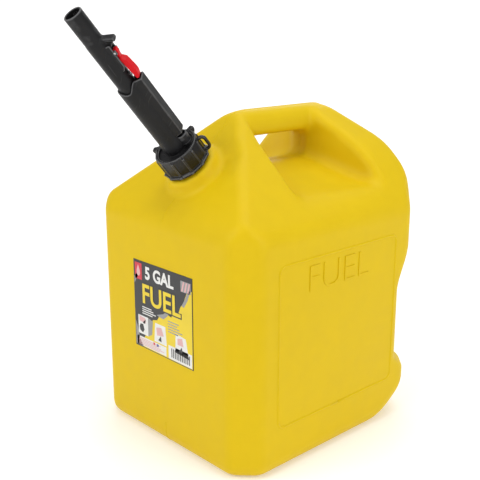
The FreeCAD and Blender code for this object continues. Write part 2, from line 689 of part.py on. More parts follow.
lever_pad = plate("LeverPad", (
    ("pin_rise + 2.8", "housing_end + 0.7"), ("channel_rise - channel_wall - 0.3", "housing_end + 0.7"),
    ("channel_rise", "housing_end + 7"), ("channel_rise", "pin_height - 16"),
    ("pin_rise + 1.9", "pin_height - 11"), ("pin_rise - 0.6", "pin_height - 11")), "lever_width")
lever_neck = plate("LeverNeck", (
    ("pin_rise - 0.4", "pin_height - 12"), ("pin_rise + 1.9", "pin_height - 12"),
    ("pin_rise + 1.9", "pin_height + 3"), ("pin_rise - 1.1", "pin_height + 3"),
    ("pin_rise - 1.1", "pin_height - 5")), "lever_width - 3")
lever_hole = along(cylinder("LeverHole", "pin_radius + fit_gap", "lever_width + 4", "pin_rise",
                            "- lever_width / 2 - 2", "pin_height"), SIDEWAYS)
spring_pocket = along(cylinder("SpringPocket", "spring_boss_radius + 0.4", "3.4", "pin_rise", "0",
                               "pin_height - lock_spring_drop"), ACROSS)
keep(cut("LockLever", fuse("LeverSolid", [lever_pad, lever_neck]),
         fuse("LeverCuts", [lever_hole, spring_pocket])), "lock_lever", spout_frame)

lock_pin = along(cylinder("LockPin", "pin_radius", "lever_width + 1.2"), SIDEWAYS)
keep(lock_pin, "lock_pin", spout_frame * FreeCAD.Placement(FreeCAD.Vector(
    size("pin_rise"), -size("lever_width") / 2 - 0.6, size("pin_height")),
    FreeCAD.Rotation(UP, SIDEWAYS)))

lock_spring = coil("LockSpring", "lock_spring_radius", "lock_wire / 2", "1.4", "4.2")
keep(lock_spring, "lock_spring", spout_frame * FreeCAD.Placement(FreeCAD.Vector(
    size("nozzle_bore") + 2.1 + size("fit_gap") + size("lock_wire") / 2, 0,
    size("pin_height") - size("lock_spring_drop")), FreeCAD.Rotation(UP, ACROSS)))


# ---------------------------------------------------------------- checks and export

doc.recompute()
for thing in doc.Objects:
    if "Invalid" in thing.State or "Error" in thing.State:
        raise RuntimeError("%s did not build: %s" % (thing.Name, thing.State))
for thing in subparts:
    if thing.Shape.isNull() or not thing.Shape.isValid() or not thing.Shape.Solids:
        raise RuntimeError(thing.Label + " has no valid solid")

os.makedirs("parts", exist_ok=True)
for thing in subparts:
    thing.Shape.exportStep(os.path.join("parts", thing.Label + ".step"))
    print("%-16s %8.1f mm3  %d solid(s)" % (thing.Label, thing.Shape.Volume, len(thing.Shape.Solids)))
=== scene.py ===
import json
import math

import bmesh
import bpy
import numpy as np
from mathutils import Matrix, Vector


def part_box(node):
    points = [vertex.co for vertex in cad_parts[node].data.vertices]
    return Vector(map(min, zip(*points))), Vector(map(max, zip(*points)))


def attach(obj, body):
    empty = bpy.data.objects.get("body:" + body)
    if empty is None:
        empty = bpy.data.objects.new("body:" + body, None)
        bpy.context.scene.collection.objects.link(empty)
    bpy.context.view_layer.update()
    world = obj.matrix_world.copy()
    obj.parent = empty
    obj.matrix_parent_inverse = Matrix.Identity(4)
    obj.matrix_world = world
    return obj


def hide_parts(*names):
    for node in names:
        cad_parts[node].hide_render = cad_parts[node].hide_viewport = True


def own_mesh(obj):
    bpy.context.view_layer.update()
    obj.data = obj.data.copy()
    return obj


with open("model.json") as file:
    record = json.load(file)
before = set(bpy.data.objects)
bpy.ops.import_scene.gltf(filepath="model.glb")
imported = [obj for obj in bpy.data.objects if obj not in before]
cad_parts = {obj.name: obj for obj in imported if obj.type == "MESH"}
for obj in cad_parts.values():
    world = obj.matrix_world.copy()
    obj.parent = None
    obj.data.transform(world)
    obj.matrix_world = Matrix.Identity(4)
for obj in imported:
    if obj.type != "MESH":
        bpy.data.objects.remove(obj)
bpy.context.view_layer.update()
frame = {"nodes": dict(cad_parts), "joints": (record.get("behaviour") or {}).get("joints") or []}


# ---------------------------------------------------------------- studio
# A pale seamless floor that sweeps up behind the can, one large soft light from the front
# left, a weaker one from the right and a wide one overhead.

def pale_floor():
    """A flat sheet that turns up at the back along a quarter circle: height = r - sqrt(r2 - d2)."""
    reach, bend, far = 3.0, 1.2, 1.6
    along = np.concatenate([np.linspace(-reach, far, 24), np.linspace(far, far + bend, 24)[1:]])
    past = np.clip(along - far, 0, bend)
    height = bend - np.sqrt(bend ** 2 - past ** 2)
    across = np.linspace(-4.0, 4.0, 9)
    u, v = np.meshgrid(across, np.arange(len(along)), indexing="ij")
    turn = math.radians(47)
    x = u * math.cos(turn) - along[v] * math.sin(turn)
    y = u * math.sin(turn) + along[v] * math.cos(turn)
    points = np.stack([x, y, height[v]], -1).reshape(-1, 3)
    rows, cols = u.shape
    corner = (np.arange(rows - 1)[:, None] * cols + np.arange(cols - 1)[None]).ravel()
    quads = np.stack([corner, corner + cols, corner + cols + 1, corner + 1], -1)
    mesh = bpy.data.meshes.new("pale_floor")
    mesh.from_pydata(points.tolist(), [], quads.tolist())
    mesh.polygons.foreach_set("use_smooth", [True] * len(quads))
    return mesh


def softbox(name, place, aim, size, power, colour):
    """A square area light at a place, turned to face a point."""
    lamp = bpy.data.lights.new(name, "AREA")
    lamp.shape = "SQUARE"
    lamp.size = size
    lamp.energy = power
    lamp.color = colour
    holder = bpy.data.objects.new(name, lamp)
    holder.location = place
    holder.rotation_euler = (Vector(aim) - Vector(place)).to_track_quat("-Z", "Y").to_euler()
    bpy.context.scene.collection.objects.link(holder)


floor_paint = bpy.data.materials.new("floor_paint")
floor_paint.use_nodes = True
floor_inputs = floor_paint.node_tree.nodes["Principled BSDF"].inputs
floor_inputs["Base Color"].default_value = (0.9, 0.9, 0.9, 1)
floor_inputs["Roughness"].default_value = 0.75
floor_inputs["Emission Color"].default_value = (1, 1, 1, 1)
floor_inputs["Emission Strength"].default_value = 0.22
floor = bpy.data.objects.new("floor", pale_floor())
floor.data.materials.append(floor_paint)
bpy.context.scene.collection.objects.link(floor)

middle = (0, 0, 0.2)
softbox("key_light", (-0.5, -2.4, 1.9), middle, 1.8, 36, (1.0, 0.99, 0.97))
softbox("side_light", (2.4, 0.2, 1.3), middle, 1.6, 23, (1.0, 1.0, 1.0))
softbox("top_light", (0.2, 0.3, 2.6), middle, 2.2, 28, (1.0, 1.0, 1.0))
softbox("back_light", (-1.8, 1.8, 1.4), middle, 1.6, 14, (1.0, 1.0, 1.0))

# The air lights the can at AIR_LIGHT, and looks pure white where the camera sees past the floor.
AIR_LIGHT = 0.4
world = bpy.data.worlds.new("studio_air")
world.use_nodes = True
air = world.node_tree
air.nodes["Background"].inputs["Color"].default_value = (1, 1, 1, 1)
seen = air.nodes.new("ShaderNodeLightPath")
strength = air.nodes.new("ShaderNodeMath")
strength.operation = "MULTIPLY_ADD"
strength.inputs[1].default_value = 1 - AIR_LIGHT
strength.inputs[2].default_value = AIR_LIGHT
air.links.new(seen.outputs["Is Camera Ray"], strength.inputs[0])
air.links.new(strength.outputs[0], air.nodes["Background"].inputs["Strength"])
bpy.context.scene.world = world
bpy.context.scene.view_settings.view_transform = "Standard"

camera = bpy.data.cameras.new("camera")
camera.lens = 61.6
camera_holder = bpy.data.objects.new("camera", camera)
camera_holder.location = (0.6695, -0.6507, 0.4713)
looking_at = Vector((-0.0321, 0.0, 0.2066))
camera_holder.rotation_euler = (looking_at - camera_holder.location).to_track_quat("-Z", "Y").to_euler()
bpy.context.scene.collection.objects.link(camera_holder)
bpy.context.scene.camera = camera_holder


# ---------------------------------------------------------------- tank
# The can is one blow-moulded polyethylene shell: flat walls with soft edges, a hipped roof
# that rises to a hollow carrying handle, and a grip recess pressed into the back.  It is
# worked out here as one smooth distance field and skinned.

MM = 1000.0
joints = {joint["name"]: joint for joint in frame["joints"]}
neck_axis = np.array(joints["spout_lift"]["axis"])
neck_rim = np.array(joints["collar_turn"]["pos_m"]) * MM
tank_low, tank_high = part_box("tank_body")
HALF_W = tank_high.x * MM
HALF_L = tank_high.y * MM
TOP = tank_high.z * MM
SHOULDER = 260.0  # height where the walls meet the roof
BAR = 17.5  # half the handle's width
CORNER_CUT = 25  # how far each upright corner is cut back along both walls
RECESS = 15  # depth of the grip recess
KNEE = (86, 318.5)  # where the rear roof bends down to the side walls
CROWN_EDGE = 361.5  # height where the handle's rounded top starts
FRONT_HIP, FRONT_HIP_FALL = 762, 1.875  # the hips are the planes |x| - y + fall z = hip in front,
REAR_HIP, REAR_HIP_FALL = 636, 1.3  # and |x| + y + fall z = hip behind
GAP_ROOF = TOP - 29
GAP_FLOOR = 307
NECK_OUTSIDE = 19.4
NECK_BORE = 17
NECK_ROOT = 60
BOSS = 30  # radius of the raised seat round the neck
BOSS_TOP = -19


def soft_max(a, b, soft):
    """The larger of two distances, eased where they differ by less than soft (a moulded edge)."""
    near = np.clip(soft - np.abs(a - b), 0, None) / soft
    return np.maximum(a, b) + near * near * soft / 4


def soft_min(a, b, soft):
    """The smaller of two distances, eased in the same way (a moulded inside corner)."""
    return -soft_max(-a, -b, soft)


def ease(value, start, end):
    """0 before start, 1 after end, and a smooth S between: 3t2 - 2t3."""
    t = np.clip((value - start) / (end - start), 0, 1)
    return t * t * (3 - 2 * t)


def ramp(across, up, first, second):
    """Distance to the left of the straight line that runs from the first point to the second."""
    run, rise = second[0] - first[0], second[1] - first[1]
    return ((up - first[1]) * run - (across - first[0]) * rise) / math.hypot(run, rise)


def can_form(x, y, z):
    """Distance to the can without its neck: walls, roof slopes and hips joined by soft maximums,
    less the gap under the handle and the grip recess."""
    ax = np.abs(x)
    recess = RECESS * ease(z, 56, 76) * (1 - ease(z, 156, 212))
    corner = (ax + np.abs(y) - (HALF_W + HALF_L - CORNER_CUT)) / math.sqrt(2)
    corner = np.where(y > 0, corner + 0.82 * recess, corner)
    walls = soft_max(ax - HALF_W, corner, 5)
    walls = soft_max(walls, -y - HALF_L, 5)
    walls = soft_max(walls, y - (HALF_L - recess), 6)

    flat_side = ramp(ax, z, (BAR, 360.5), (HALF_W, SHOULDER))
    full_side = soft_max(ramp(ax, z, KNEE, (HALF_W, SHOULDER)),
                         ramp(ax, z, (BAR + 3.2, CROWN_EDGE), KNEE), 11)
    full = ease(y, -20, 80)
    roof = (1 - full) * flat_side + full * full_side
    roof = soft_max(roof, ramp(y, z, (-HALF_L, SHOULDER + 2), (-39.0, TOP)), 8)
    roof = soft_max(roof, (ax - y + FRONT_HIP_FALL * z - FRONT_HIP) / 2.35, 4)
    roof = soft_max(roof, ramp(y, z, (HALF_L - 0.5, 309), (HALF_L, SHOULDER)), 6)
    roof = soft_max(roof, ramp(y, z, (HALF_L - 36, 361), (HALF_L - 3.5, 326)), 9)
    roof = soft_max(roof, (ax + y + REAR_HIP_FALL * z - REAR_HIP) / 1.92, 8)
    roof = soft_max(roof, z - TOP, 9)
    form = soft_max(walls, roof, 9)
    form = soft_max(form, -z, 19)
    form = soft_max(form, (ax + y - 1.4 * z - HALF_L - 62) / 1.99, 12)

    outward = ease(ax, 8, 95)
    gap_front = -26 - 8 * ease(ax, 0, 22)
    gap_rear = 68 + 15 * outward
    between = np.abs(y - (gap_front + gap_rear) / 2) - (gap_rear - gap_front) / 2
    floor_z = GAP_FLOOR - 20 * outward
    through = soft_max(soft_max(between, z - GAP_ROOF, 12), floor_z - z, 14)
    scoop = soft_max(soft_max(between, BAR - ax, 8), floor_z - z, 18)
    return soft_max(form, -soft_min(through, scoop, 10), 12)


def tank_field(x, y, z):
    """The can with the boss, the thumb pocket beside it, and the bored neck that carries the
    spout."""
    px, py, pz = x - neck_rim[0], y - neck_rim[1], z - neck_rim[2]
    up = px * neck_axis[0] + py * neck_axis[1] + pz * neck_axis[2]
    radius = np.sqrt(np.maximum(px * px + py * py + pz * pz - up * up, 0))
    boss = np.maximum(soft_max(radius - BOSS, up - BOSS_TOP, 7), -NECK_ROOT - up)
    back = py * neck_axis[2] - pz * neck_axis[1]
    pocket = np.sqrt(((px - 36) / 1.1) ** 2 + (up + 17) ** 2 + ((back - 14) / 1.6) ** 2) - 13
    form = soft_max(can_form(x, y, z), -pocket, 14)
    form = soft_min(form, boss, 10)
    neck = np.maximum(soft_max(radius - NECK_OUTSIDE, up, 1), -NECK_ROOT - up)
    form = soft_min(form, neck, 2)
    return np.maximum(form, -np.maximum(radius - NECK_BORE, 5 - NECK_ROOT - up))


def skin(field, low, high, cell):
    """Surface nets.  The field is sampled on a grid; every cell that it changes sign in gets one
    corner, the mean of the crossings on its edges, and every crossed grid edge one face.  The
    corners are then evened out and moved onto the surface along the field's gradient."""
    axes = [np.arange(low[i] - 2 * cell, high[i] + 3 * cell, cell) for i in range(3)]
    grid = field(*np.meshgrid(*axes, indexing="ij"))
    inside = grid < 0
    shape = np.array(grid.shape) - 1
    total = np.zeros(tuple(shape) + (3,))
    hits = np.zeros(tuple(shape))
    faces = []
    crossings = []
    for axis in range(3):
        ends, starts = [slice(None)] * 3, [slice(None)] * 3
        ends[axis], starts[axis] = slice(1, None), slice(None, -1)
        starts, ends = tuple(starts), tuple(ends)
        crossed = inside[starts] != inside[ends]
        share = np.where(crossed, grid[starts] / np.where(crossed, grid[starts] - grid[ends], 1), 0)
        one, two = (axis + 1) % 3, (axis + 2) % 3
        for first in (0, 1):
            for second in (0, 1):
                part = [slice(None)] * 3
                part[one] = slice(first, first + shape[one])
                part[two] = slice(second, second + shape[two])
                here = crossed[tuple(part)]
                hits += here
                total[..., axis] += share[tuple(part)]
                total[..., one] += here * first
                total[..., two] += here * second
        crossings.append((one, two, inside[starts] & crossed, inside[ends] & crossed))
    used = hits > 0
    number = np.full(used.shape, -1)
    number[used] = np.arange(used.sum())
    start = np.stack([axes[i][np.nonzero(used)[i]] for i in range(3)], -1)
    points = start + total[used] / hits[used][:, None] * cell
    for one, two, leaving, entering in crossings:
        for crossing, order in ((leaving, (0, 1, 2, 3)), (entering, (3, 2, 1, 0))):
            at = np.stack(np.nonzero(crossing), -1)
            ring = []
            for back_one, back_two in ((1, 1), (0, 1), (0, 0), (1, 0)):
                cell_at = at.copy()
                cell_at[:, one] -= back_one
                cell_at[:, two] -= back_two
                ring.append(number[tuple(cell_at.T)])
            faces.append(np.stack([ring[i] for i in order], -1))
    faces = np.concatenate(faces)
    points = settle(field, points, cell, 3)
    for _ in range(3):
        points = settle(field, evened(points, faces), cell, 2)
    return points, faces


def settle(field, points, cell, rounds):
    """Newton steps onto the surface: each point moves by -d g / g2, at most half a cell."""
    for _ in range(rounds):
        slope = gradient(field, points, cell * 0.05)
        step = field(*points.T)[:, None] * slope
        step /= np.maximum((slope ** 2).sum(1), 1e-6)[:, None]
        length = np.linalg.norm(step, axis=1, keepdims=True)
        points = points - step * np.minimum(1, 0.5 * cell / np.maximum(length, 1e-9))
    return points


def gradient(field, points, step):
    """The field's slope at each point, from differences a small step either side."""
    slope = np.empty_like(points)
    for axis in range(3):
        ahead, behind = points.copy(), points.copy()
        ahead[:, axis] += step
        behind[:, axis] -= step
        slope[:, axis] = (field(*ahead.T) - field(*behind.T)) / (2 * step)
    return slope


def evened(points, faces):
    """Each point moved halfway to the mean of its neighbours along the faces' edges."""
    total = np.zeros_like(points)
    count = np.zeros(len(points))
    for a in range(4):
        for b in ((a + 1) % 4, (a + 3) % 4):
            for axis in range(3):
                total[:, axis] += np.bincount(faces[:, a], points[faces[:, b], axis], len(points))
            count += np.bincount(faces[:, a], minlength=len(points))
    return 0.5 * points + 0.5 * total / np.maximum(count, 1)[:, None]


def ridges(field, points, reach):
    """How sharply the surface bends outwards: the field's Laplacian over a small reach."""
    total = -6 * field(*points.T)
    for axis in range(3):
        for sign in (-1, 1):
            moved = points.copy()
            moved[:, axis] += sign * reach
            total += field(*moved.T)
    return total / reach ** 2


def piece(name, points, faces, paint, body, stands_for=(), bend=None):
    """A smooth-shaded object from millimetre arrays, riding on a body; the bend becomes the
    point attribute ridge, and the CAD pieces it stands for are hidden."""
    mesh = bpy.data.meshes.new(name)
    mesh.vertices.add(len(points))
    mesh.vertices.foreach_set("co", np.asarray(points / MM, np.float32).ravel())
    mesh.loops.add(faces.size)
    mesh.loops.foreach_set("vertex_index", faces.astype(np.int32).ravel())
    mesh.polygons.add(len(faces))
    mesh.polygons.foreach_set("loop_start", np.arange(0, faces.size, faces.shape[1], dtype=np.int32))
    mesh.update(calc_edges=True)
    mesh.polygons.foreach_set("use_smooth", np.ones(len(faces), bool))
    layer = mesh.attributes.new("ridge", "FLOAT", "POINT")
    layer.data.foreach_set("value", np.zeros(len(points), np.float32) if bend is None
                           else bend.astype(np.float32))
    mesh.materials.append(paint)
    made = bpy.data.objects.new(name, mesh)
    bpy.context.scene.collection.objects.link(made)
    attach(made, body)
    if stands_for:
        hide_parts(*stands_for)
    return made


def add_node(tree, kind, settings=None, **sockets):
    """A shader node with its settings; each socket takes a number, a colour or another socket."""
    made = tree.nodes.new(kind)
    for key, value in (settings or {}).items():
        setattr(made, key, value)
    for key, value in sockets.items():
        socket = made.inputs[int(key[1:])] if key[0] == "i" and key[1:].isdigit() else \
            made.inputs[key.replace("_", " ")]
        if isinstance(value, bpy.types.NodeSocket):
            tree.links.new(value, socket)
        else:
            socket.default_value = value
    return made


def shared_group(name, inputs, outputs):
    """A new node group with float inputs and typed outputs, its two end nodes returned."""
    group = bpy.data.node_groups.new(name, "ShaderNodeTree")
    for label, value in inputs:
        socket = group.interface.new_socket(label, in_out="INPUT", socket_type="NodeSocketFloat")
        socket.default_value = value
    for label, kind in outputs:
        group.interface.new_socket(label, in_out="OUTPUT", socket_type="NodeSocket" + kind)
    return group, group.nodes.new("NodeGroupInput"), group.nodes.new("NodeGroupOutput")


# Moulded surface: fine pebble grain, slow mottling and long faint scratches, from the object's
# own coordinates.  Mottle and Scratch are masks from 0 to 1.
moulded, given, gives = shared_group(
    "moulded_surface", (("Grain", 900.0), ("Depth", 0.1), ("Offset", 0.0)),
    (("Mottle", "Float"), ("Scratch", "Float"), ("Normal", "Vector")))
where = add_node(moulded, "ShaderNodeTexCoord")
moved = add_node(moulded, "ShaderNodeVectorMath", {"operation": "ADD"}, i0=where.outputs["Object"],
                 i1=given.outputs["Offset"])
slow = add_node(moulded, "ShaderNodeTexNoise", Vector=moved.outputs[0], Scale=9.0, Detail=4.0)
middle_noise = add_node(moulded, "ShaderNodeTexNoise", Vector=moved.outputs[0], Scale=60.0, Detail=5.0)
both = add_node(moulded, "ShaderNodeMath", {"operation": "ADD"}, i0=slow.outputs[0],
                i1=middle_noise.outputs[0])
mottle = add_node(moulded, "ShaderNodeMapRange", Value=both.outputs[0], From_Min=0.7, From_Max=1.3)
moulded.links.new(mottle.outputs[0], gives.inputs["Mottle"])
grain = add_node(moulded, "ShaderNodeTexNoise", Vector=moved.outputs[0],
                 Scale=given.outputs["Grain"], Detail=2.0)
scratch_sum = None
for turn, stretch in ((0.3, (900, 30, 60)), (-0.5, (40, 800, 50))):
    laid = add_node(moulded, "ShaderNodeMapping", Vector=moved.outputs[0], Rotation=(turn, turn, 0),
                    Scale=stretch)
    lines = add_node(moulded, "ShaderNodeTexNoise", Vector=laid.outputs[0], Scale=1.0, Detail=2.0)
    thin = add_node(moulded, "ShaderNodeMapRange", Value=lines.outputs[0], From_Min=0.66, From_Max=0.74)
    scratch_sum = thin.outputs[0] if scratch_sum is None else add_node(
        moulded, "ShaderNodeMath", {"operation": "MAXIMUM"}, i0=scratch_sum,
        i1=thin.outputs[0]).outputs[0]
moulded.links.new(scratch_sum, gives.inputs["Scratch"])
height = add_node(moulded, "ShaderNodeMath", {"operation": "MULTIPLY_ADD"}, i0=scratch_sum, i1=-0.6,
                  i2=grain.outputs[0])
relief = add_node(moulded, "ShaderNodeBump", Strength=given.outputs["Depth"], Distance=0.0004,
                  Height=height.outputs[0])
moulded.links.new(relief.outputs[0], gives.inputs["Normal"])

# Edge scuffs and painted highlight: the bend of the surface, broken up by noise, as a mask from 0 to 1.
# On the black parts this mask paints pale highlights along convex edges as well as scuffing.
scuff_highlight_group, given, gives = shared_group(
    "edge_scuff_and_painted_highlight", (("Start", 0.1), ("End", 0.4), ("Breakup", 0.4)), (("Mask", "Float"),))
bend = add_node(scuff_highlight_group, "ShaderNodeAttribute", {"attribute_name": "ridge"})
where = add_node(scuff_highlight_group, "ShaderNodeTexCoord")
patch = add_node(scuff_highlight_group, "ShaderNodeTexNoise", Vector=where.outputs["Object"], Scale=140.0, Detail=6.0)
centred = add_node(scuff_highlight_group, "ShaderNodeMath", {"operation": "SUBTRACT"}, i0=patch.outputs[0], i1=0.5)
uneven = add_node(scuff_highlight_group, "ShaderNodeMath", {"operation": "MULTIPLY_ADD"}, i0=centred.outputs[0],
                  i1=given.outputs["Breakup"], i2=bend.outputs["Fac"])
edge = add_node(scuff_highlight_group, "ShaderNodeMapRange", Value=uneven.outputs[0],
                From_Min=given.outputs["Start"], From_Max=given.outputs["End"])
scuff_highlight_group.links.new(edge.outputs[0], gives.inputs["Mask"])


def mixed(tree, share, low, high):
    """A colour between two, by a mask."""
    mix = add_node(tree, "ShaderNodeMix", {"data_type": "RGBA"}, Factor=share)
    mix.inputs[6].default_value = (*low, 1) if isinstance(low, tuple) else (0, 0, 0, 1)
    mix.inputs[7].default_value = (*high, 1)
    if not isinstance(low, tuple):
        tree.links.new(low, mix.inputs[6])
    return mix.outputs[2]


def plastic(name, dark, light, edge_colour, rough, grain, depth, scuff_highlight_settings, sheen=0.5):
    """A moulded plastic: two tones mottled together, edges paler from scuffing and on black parts a
    painted highlight, scratches a little duller, and roughness that varies with the mottling and the
    grain."""
    paint = bpy.data.materials.new(name)
    paint.use_nodes = True
    tree = paint.node_tree
    shader = tree.nodes["Principled BSDF"]
    surface = add_node(tree, "ShaderNodeGroup", {"node_tree": moulded}, Grain=grain, Depth=depth)
    scuff_highlight_mask = add_node(tree, "ShaderNodeGroup", {"node_tree": scuff_highlight_group}, Start=scuff_highlight_settings[0], End=scuff_highlight_settings[1],
                      Breakup=scuff_highlight_settings[2])
    tone = mixed(tree, surface.outputs["Mottle"], dark, light)
    # Paler edges by the edge mask: scuffing, and on the black parts a painted highlight.
    edge_share = add_node(tree, "ShaderNodeMath", {"operation": "MULTIPLY"},
                          i0=scuff_highlight_mask.outputs["Mask"], i1=scuff_highlight_settings[3])
    scratch_share = add_node(tree, "ShaderNodeMath", {"operation": "MULTIPLY"},
                             i0=surface.outputs["Scratch"], i1=scuff_highlight_settings[4])
    share = add_node(tree, "ShaderNodeMath", {"operation": "MAXIMUM"}, i0=edge_share.outputs[0],
                     i1=scratch_share.outputs[0])
    tree.links.new(mixed(tree, share.outputs[0], tone, edge_colour), shader.inputs["Base Color"])
    duller = add_node(tree, "ShaderNodeMapRange", Value=surface.outputs["Mottle"],
                      To_Min=rough - 0.05, To_Max=rough + 0.06)
    final = add_node(tree, "ShaderNodeMath", {"operation": "MULTIPLY_ADD"}, i0=share.outputs[0], i1=0.2,
                     i2=duller.outputs[0])
    tree.links.new(final.outputs[0], shader.inputs["Roughness"])
    tree.links.new(surface.outputs["Normal"], shader.inputs["Normal"])
    shader.inputs["Specular IOR Level"].default_value = sheen
    shader.inputs["IOR"].default_value = 1.5
    return paint


yellow = plastic("yellow_polyethylene", (0.685, 0.473, 0.003), (0.715, 0.497, 0.004), (0.77, 0.56, 0.02),
                 0.48, 700.0, 0.12, (0.05, 0.25, 0.1, 0.25, 0.08), 0.16)
yellow_shader = yellow.node_tree.nodes["Principled BSDF"]
yellow_shader.inputs["Subsurface Weight"].default_value = 0.12
yellow_shader.inputs["Subsurface Radius"].default_value = (1.0, 0.7, 0.08)
yellow_shader.inputs["Subsurface Scale"].default_value = 0.004

tank_points, tank_faces = skin(tank_field, np.array(tank_low) * MM, np.array(tank_high) * MM, 2.6)
piece("tank_shell", tank_points, tank_faces, yellow, "tank", ("tank_body",),
      ridges(tank_field, tank_points, 3.0))


# ---------------------------------------------------------------- parting line
# Where the two halves of the blow mould met, a low bead of flash is left all round the can's
# middle and round the inside of the handle's gap.

def bead(path, normals, width, rise, sink):
    """A closed strip laid along a path: its section is a cosine hump, rise x (1 + cos t) / 2,
    whose foot lies a little under the surface."""
    ahead = np.gradient(path, axis=0)
    ahead /= np.linalg.norm(ahead, axis=1, keepdims=True)
    aside = np.cross(ahead, normals)
    aside /= np.linalg.norm(aside, axis=1, keepdims=True)
    turn = np.linspace(-math.pi, math.pi, 9)
    across = np.append(turn / math.pi, 0.0) * width / 2
    up = np.append(rise * (1 + np.cos(turn)) / 2 - sink, -1.6 * sink)
    points = (path[:, None] + aside[:, None] * across[None, :, None]
              + normals[:, None] * up[None, :, None])
    count, around = points.shape[:2]
    row = np.arange(count - 1)[:, None] * around
    col = np.arange(around)
    nxt = (col + 1) % around
    quads = np.stack([row + col, row + nxt, row + nxt + around, row + col + around], -1)
    caps = []
    for base, order in ((0, 1), ((count - 1) * around, -1)):
        for step in range(around // 2 - 1):
            far, near = (around - 1 - step), (around - 2 - step)
            ring = [base + step, base + far, base + near, base + step + 1]
            caps.append(ring[::-1] if order < 0 else ring)
    return points.reshape(-1, 3), np.concatenate([quads.reshape(-1, 4), np.array(caps)])


def traced(field, centre, angles, reach):
    """Points of the middle plane where rays from a centre meet the surface, walking in from
    reach (or out from the centre when reach is 0) in steps of the distance left."""
    ray = np.stack([np.zeros_like(angles), np.cos(angles), np.sin(angles)], -1)
    run = np.full(len(angles), float(reach))
    for _ in range(400):
        left = field(*(centre + ray * run[:, None]).T)
        run = run - 0.7 * left if reach else run + 0.7 * left
    return centre + ray * run[:, None]


def unit_gradient(field, points):
    """The surface's outward direction at each point: the field's slope over its length."""
    slope = gradient(field, points, 0.2)
    return slope / np.linalg.norm(slope, axis=1, keepdims=True)


seam_centre = np.array([0, 0, 165.0])
gap_centre = np.array([0, 21.0, 323.0])
NECK_HALF_ANGLE = 0.16  # radians left bare either side of the neck, as seen from the centre
neck_bearing = math.atan2(neck_rim[2] - seam_centre[2], neck_rim[1])
outer_seam = traced(can_form, seam_centre,
                    np.linspace(neck_bearing + NECK_HALF_ANGLE,
                                neck_bearing + 2 * math.pi - NECK_HALF_ANGLE, 620), 420)
gap_seam = traced(can_form, gap_centre, np.linspace(0, 2 * math.pi, 160), 0)
below = outer_seam[:, 2] < 30
front_wall = (outer_seam[:, 1] < -HALF_L + 1.5) & ~below
start_of, end_of = np.nonzero(front_wall)[0][[0, -1]]  # the front wall is left smooth
for name, path in (("front_parting_line", outer_seam[:start_of]),
                   ("parting_line", outer_seam[end_of + 1:]), ("gap_parting_line", gap_seam)):
    seam_points, seam_faces = bead(path, unit_gradient(can_form, path), 2.2, 0.75, 0.3)
    seam_points[:, 2] = np.maximum(seam_points[:, 2], 0.02)  # flat where the can stands on it
    piece(name, seam_points, seam_faces, yellow, "tank")


# ---------------------------------------------------------------- side panels
# Each side wall carries a low moulded frame and a raised word, pressed out from inside by
# the mould and so softly rounded.

def frame_path(low, high, corner, steps):
    """A rectangle with quarter-circle corners, walked from the middle of its lower side."""
    (y0, z0), (y1, z1) = low, high
    path = [((y0 + y1) / 2, z0)]
    for cy, cz, first in ((y1 - corner, z0 + corner, -90), (y1 - corner, z1 - corner, 0),
                          (y0 + corner, z1 - corner, 90), (y0 + corner, z0 + corner, 180)):
        for turn in np.radians(np.linspace(first, first + 90, steps)):
            path.append((cy + corner * math.cos(turn), cz + corner * math.sin(turn)))
    path.append(path[0])
    return np.array(path)


def lettering(text, width, height, depth, thicken):
    """A word as a closed mesh in the plane x-y, centred, its front at z = depth."""
    curve = bpy.data.curves.new("word", "FONT")
    curve.body = text
    curve.extrude = 0.5
    curve.offset = thicken
    curve.resolution_u = 6
    holder = bpy.data.objects.new("word", curve)
    bpy.context.scene.collection.objects.link(holder)
    flat = holder.to_mesh()
    points = np.empty(len(flat.vertices) * 3)
    flat.vertices.foreach_get("co", points)
    points = points.reshape(-1, 3)
    faces = [list(polygon.vertices) for polygon in flat.polygons]
    holder.to_mesh_clear()
    bpy.data.objects.remove(holder)
    low, high = points.min(0), points.max(0)
    points = (points - (low + high) / 2) / (high - low) * (width, height, depth)
    points[:, 2] += depth / 2
    kept, first = {}, []
    for point in np.round(points, 4):
        first.append(kept.setdefault(tuple(point), len(kept)))
    merged = np.array(list(kept))
    solid = [[first[i] for i in face] for face in faces]
    return merged, [face for face in solid if len(set(face)) == len(face)]


def word_piece(name, points, faces, paint, body="tank"):
    """A flat-shaded object from a word's points and faces."""
    mesh = bpy.data.meshes.new(name)
    mesh.from_pydata((points / MM).tolist(), [], faces)
    mesh.materials.append(paint)
    made = bpy.data.objects.new(name, mesh)
    bpy.context.scene.collection.objects.link(made)
    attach(made, body)
    return made


